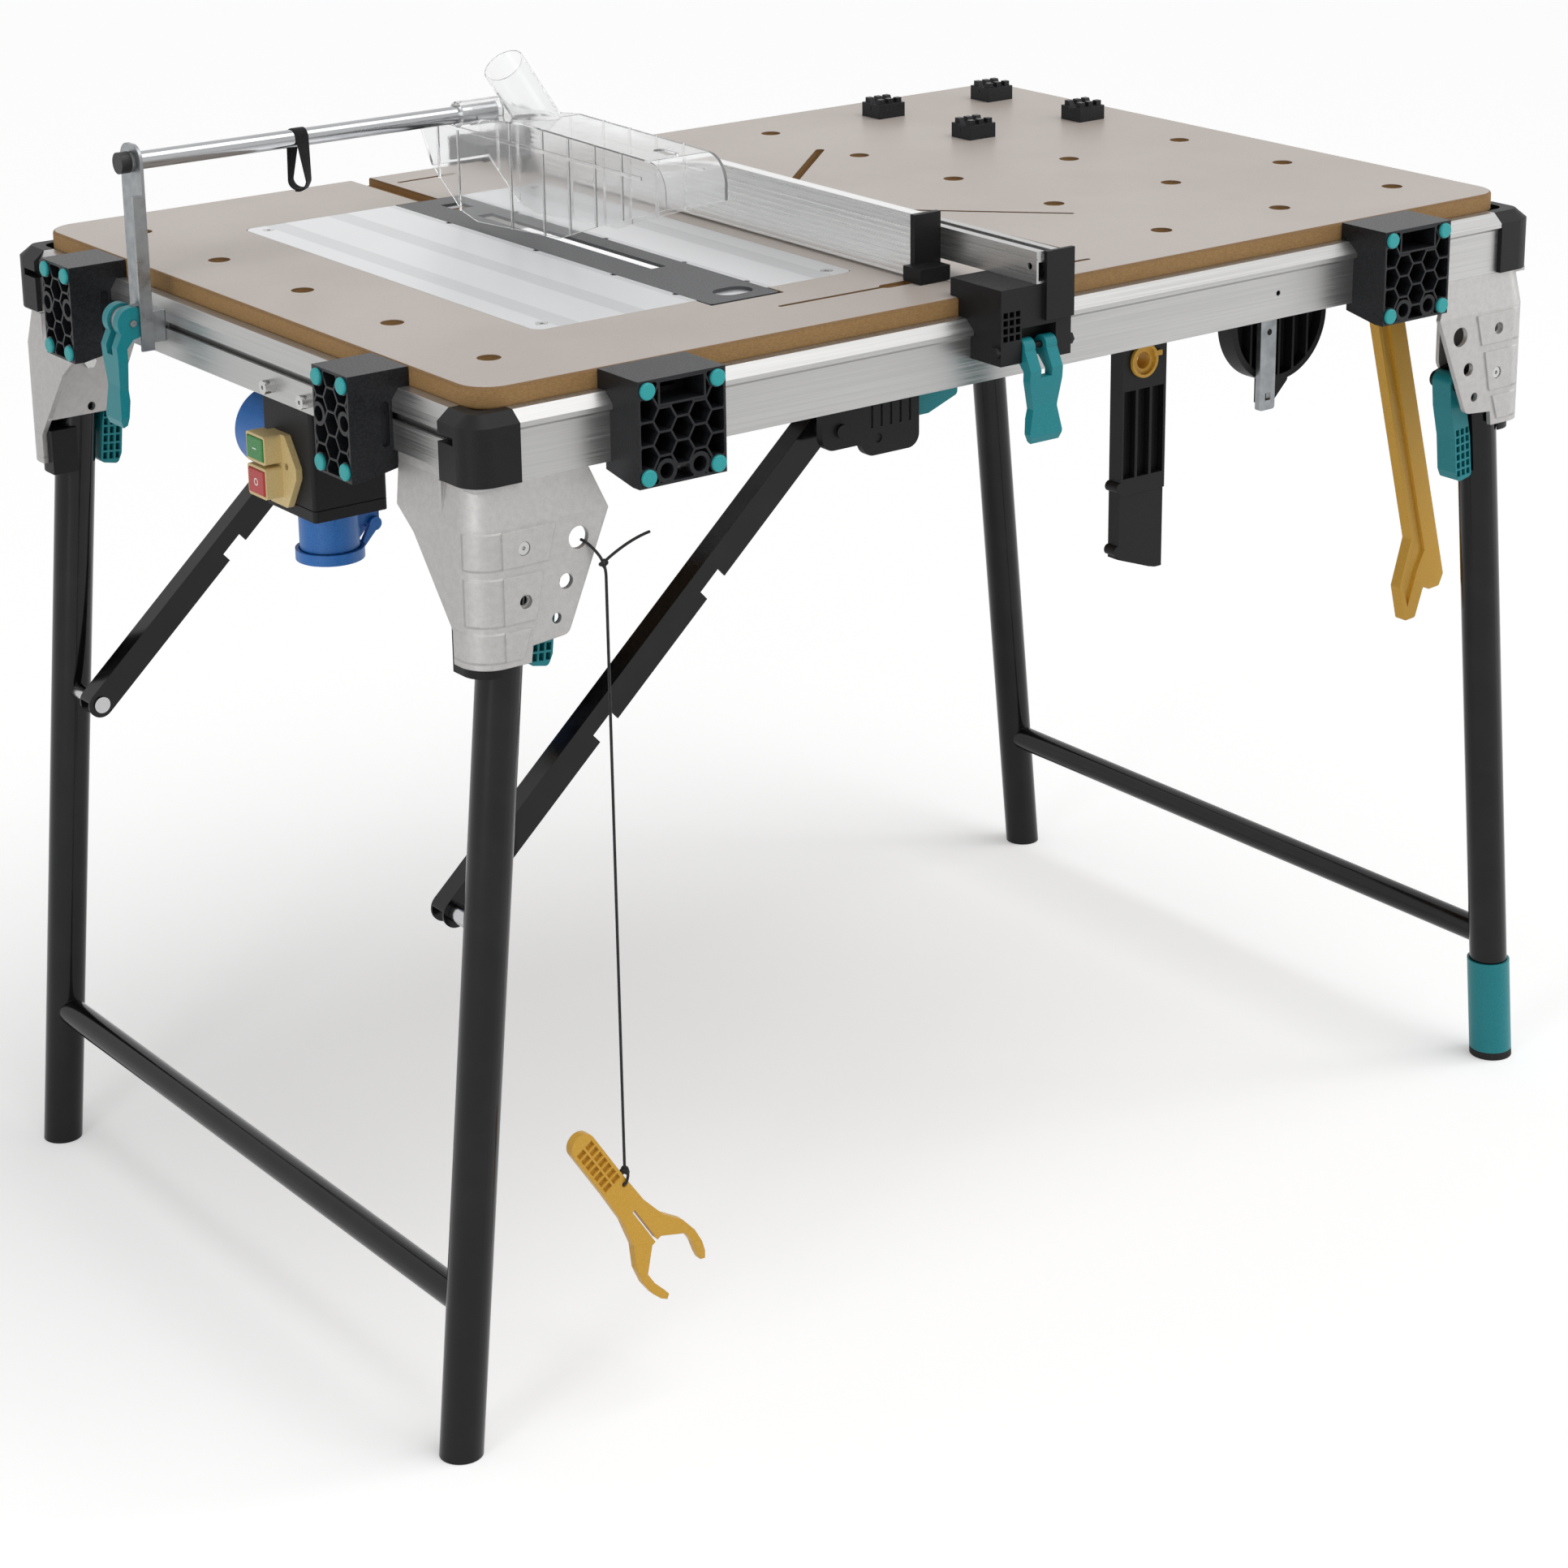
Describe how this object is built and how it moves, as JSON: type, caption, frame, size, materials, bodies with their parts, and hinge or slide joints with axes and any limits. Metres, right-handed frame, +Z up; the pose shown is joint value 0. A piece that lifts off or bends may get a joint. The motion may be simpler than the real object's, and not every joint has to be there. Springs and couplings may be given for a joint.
{
  "type": "machine table",
  "caption": "Folding machine table with a saw insert, blade guard on an arm, rip fence, clamping blocks, splayed folding legs and tools hung under its front rail.",
  "frame": {"origin": "on the floor under the middle of the table's boards", "axes": "+X along the table to the end with the adjustable foot, +Y to the back, +Z up"},
  "size_m": [1.3011, 0.885, 1.0827],
  "materials": {
    "laminate": "grey-brown laminate with a brown fibreboard edge",
    "aluminium": "satin, extruded",
    "plate_aluminium": "light, with darker stripes",
    "cast_aluminium": "blasted, fine grain",
    "insert_grey": "satin",
    "black_steel": "satin black",
    "black_plastic": "fine texture",
    "turquoise_plastic": "satin",
    "yellow_plastic": "satin",
    "cream_plastic": "satin",
    "blue_plastic": "satin",
    "green_plastic": "gloss",
    "red_plastic": "gloss",
    "clear_plastic": "clear",
    "zinc_steel": "galvanised",
    "chrome": "bright",
    "rubber": "matt",
    "black_cord": "braided"
  },
  "bodies": {
    "table": {"machine_board": "laminate", "work_board": "laminate", "machine_plate": "plate_aluminium", "blade_insert": "insert_grey", "rail_front": "aluminium", "rail_back": "aluminium", "rail_left": "aluminium", "rail_right": "aluminium", "corner_caps": "black_plastic", "bracket_front_left": "cast_aluminium", "bracket_front_right": "cast_aluminium", "bracket_back_left": "cast_aluminium", "bracket_back_right": "cast_aluminium", "leg_stops": "black_plastic", "cross_beam": "aluminium", "strut_locks": "black_plastic", "blocks_front": "black_plastic", "blocks_left": "black_plastic", "block_pads": "turquoise_plastic", "v_blocks": "black_plastic", "switch_box": "black_plastic", "switch_plate": "cream_plastic", "inlet_plug": "blue_plastic", "outlet_socket": "blue_plastic", "fasteners": "chrome"},
    "left_legs": {"left_leg_frame": "black_steel", "left_leg_heads": "black_plastic", "left_leg_pins": "chrome"},
    "right_legs": {"right_leg_frame": "black_steel", "right_leg_heads": "black_plastic", "right_leg_pins": "chrome"},
    "strut_front": {"strut_front": "black_plastic"},
    "strut_back": {"strut_back": "black_plastic"},
    "strut_lever_front": {"strut_lever_front": "turquoise_plastic"},
    "strut_lever_back": {"strut_lever_back": "turquoise_plastic"},
    "leg_lever_front_left": {"leg_lever_front_left": "turquoise_plastic"},
    "leg_lever_back_left": {"leg_lever_back_left": "turquoise_plastic"},
    "leg_lever_front_right": {"leg_lever_front_right": "turquoise_plastic"},
    "leg_lever_back_right": {"leg_lever_back_right": "turquoise_plastic"},
    "foot": {"foot_sleeve": "turquoise_plastic", "foot_pad": "rubber"},
    "fence": {"fence_beam": "aluminium", "fence_face": "aluminium", "fence_clamps": "black_plastic"},
    "fence_lever": {"fence_lever": "turquoise_plastic"},
    "guard": {"guard_arm": "zinc_steel", "guard_tube": "chrome", "hose_strap": "black_plastic"},
    "guard_hood": {"guard_hood": "clear_plastic"},
    "arm_lever": {"arm_lever": "turquoise_plastic"},
    "green_button": {"green_button": "green_plastic"},
    "red_button": {"red_button": "red_plastic"},
    "socket_lid": {"socket_lid": "blue_plastic"},
    "gauge": {"gauge_head": "black_plastic"},
    "gauge_bar": {"gauge_bar": "zinc_steel"},
    "push_stick": {"push_stick": "yellow_plastic"},
    "ribbed_bar": {"ribbed_bar": "black_plastic", "bar_hub": "yellow_plastic"},
    "clip": {"lanyard": "black_cord", "switch_clip": "yellow_plastic"}
  },
  "joints": [
    {"name": "left_fold", "type": "hinge", "parent": "table", "child": "left_legs", "pos_m": [-0.556, 0, 0.793], "axis": [0, -1, 0], "range_deg": [0, 94]},
    {"name": "right_fold", "type": "hinge", "parent": "table", "child": "right_legs", "pos_m": [0.556, 0, 0.749], "axis": [0, 1, 0], "range_deg": [0, 91.5]},
    {"name": "strut_front_turn", "type": "hinge", "parent": "left_legs", "child": "strut_front", "pos_m": [-0.58739, -0.32, 0.467], "axis": [0, -1, 0], "range_deg": [-133.1, 0]},
    {"name": "strut_back_turn", "type": "hinge", "parent": "left_legs", "child": "strut_back", "pos_m": [-0.58739, 0.32, 0.467], "axis": [0, -1, 0], "range_deg": [-133.1, 0]},
    {"name": "strut_lever_front_turn", "type": "hinge", "parent": "table", "child": "strut_lever_front", "pos_m": [-0.165, -0.345, 0.803], "axis": [0, -1, 0], "range_deg": [-70, 0]},
    {"name": "strut_lever_back_turn", "type": "hinge", "parent": "table", "child": "strut_lever_back", "pos_m": [-0.165, 0.345, 0.803], "axis": [0, -1, 0], "range_deg": [-70, 0]},
    {"name": "leg_lever_front_left_turn", "type": "hinge", "parent": "left_legs", "child": "leg_lever_front_left", "pos_m": [-0.51965, -0.375, 0.78448], "axis": [0, 1, 0], "range_deg": [-60, 0]},
    {"name": "leg_lever_back_left_turn", "type": "hinge", "parent": "left_legs", "child": "leg_lever_back_left", "pos_m": [-0.51965, 0.375, 0.78448], "axis": [0, 1, 0], "range_deg": [-60, 0]},
    {"name": "leg_lever_front_right_turn", "type": "hinge", "parent": "right_legs", "child": "leg_lever_front_right", "pos_m": [0.51965, -0.375, 0.74048], "axis": [0, -1, 0], "range_deg": [-60, 0]},
    {"name": "leg_lever_back_right_turn", "type": "hinge", "parent": "right_legs", "child": "leg_lever_back_right", "pos_m": [0.51965, 0.375, 0.74048], "axis": [0, -1, 0], "range_deg": [-60, 0]},
    {"name": "foot_extend", "type": "slide", "parent": "right_legs", "child": "foot", "axis": [0.0958, 0, -0.9954], "range_m": [0, 0.02]},
    {"name": "fence_slide", "type": "slide", "parent": "table", "child": "fence", "axis": [1, 0, 0], "range_m": [-0.08, 0.3]},
    {"name": "fence_lever_turn", "type": "hinge", "parent": "fence", "child": "fence_lever", "pos_m": [-0.055, -0.432, 0.882], "axis": [-1, 0, 0], "range_deg": [0, 100]},
    {"name": "arm_slide", "type": "slide", "parent": "table", "child": "guard", "axis": [0, 1, 0], "range_m": [-0.15, 0.05]},
    {"name": "arm_lever_turn", "type": "hinge", "parent": "guard", "child": "arm_lever", "pos_m": [-0.628, 0.122, 0.888], "axis": [0, 1, 0], "range_deg": [0, 80]},
    {"name": "hood_tilt", "type": "hinge", "parent": "guard", "child": "guard_hood", "pos_m": [-0.25, 0.122, 1.027], "axis": [-1, 0, 0], "range_deg": [0, 50]},
    {"name": "green_press", "type": "slide", "parent": "table", "child": "green_button", "axis": [1, 0, 0], "range_m": [0, 0.003], "stiffness_N_per_m": 300},
    {"name": "red_press", "type": "slide", "parent": "table", "child": "red_button", "axis": [1, 0, 0], "range_m": [0, 0.003], "stiffness_N_per_m": 300},
    {"name": "lid_turn", "type": "hinge", "parent": "table", "child": "socket_lid", "pos_m": [-0.503, -0.072, 0.726], "axis": [0, -1, 0], "range_deg": [0, 90], "stiffness_Nm_per_rad": 0.02, "springref_deg": -34.38},
    {"name": "gauge_swing", "type": "hinge", "parent": "table", "child": "gauge", "pos_m": [0.353, -0.29, 0.862], "axis": [0, 1, 0], "range_deg": [-5, 5]},
    {"name": "gauge_turn", "type": "hinge", "parent": "gauge", "child": "gauge_bar", "pos_m": [0.343, -0.306, 0.805], "axis": [0, 1, 0], "range_deg": [-60, 60]},
    {"name": "stick_swing", "type": "hinge", "parent": "table", "child": "push_stick", "pos_m": [0.498, -0.294, 0.86], "axis": [0, 1, 0], "range_deg": [-6, 6]},
    {"name": "bar_swing", "type": "hinge", "parent": "table", "child": "ribbed_bar", "pos_m": [0.193, -0.292, 0.862], "axis": [0, 1, 0], "range_deg": [-10, 10]},
    {"name": "clip_swing", "type": "hinge", "parent": "table", "child": "clip", "pos_m": [-0.504, -0.4, 0.792], "axis": [0, 1, 0], "range_deg": [-12, 12]}
  ],
  "couplings": [
    {"joint": "strut_front_turn", "follows": "left_fold", "ratio": -1.415},
    {"joint": "strut_back_turn", "follows": "left_fold", "ratio": -1.415}
  ]
}
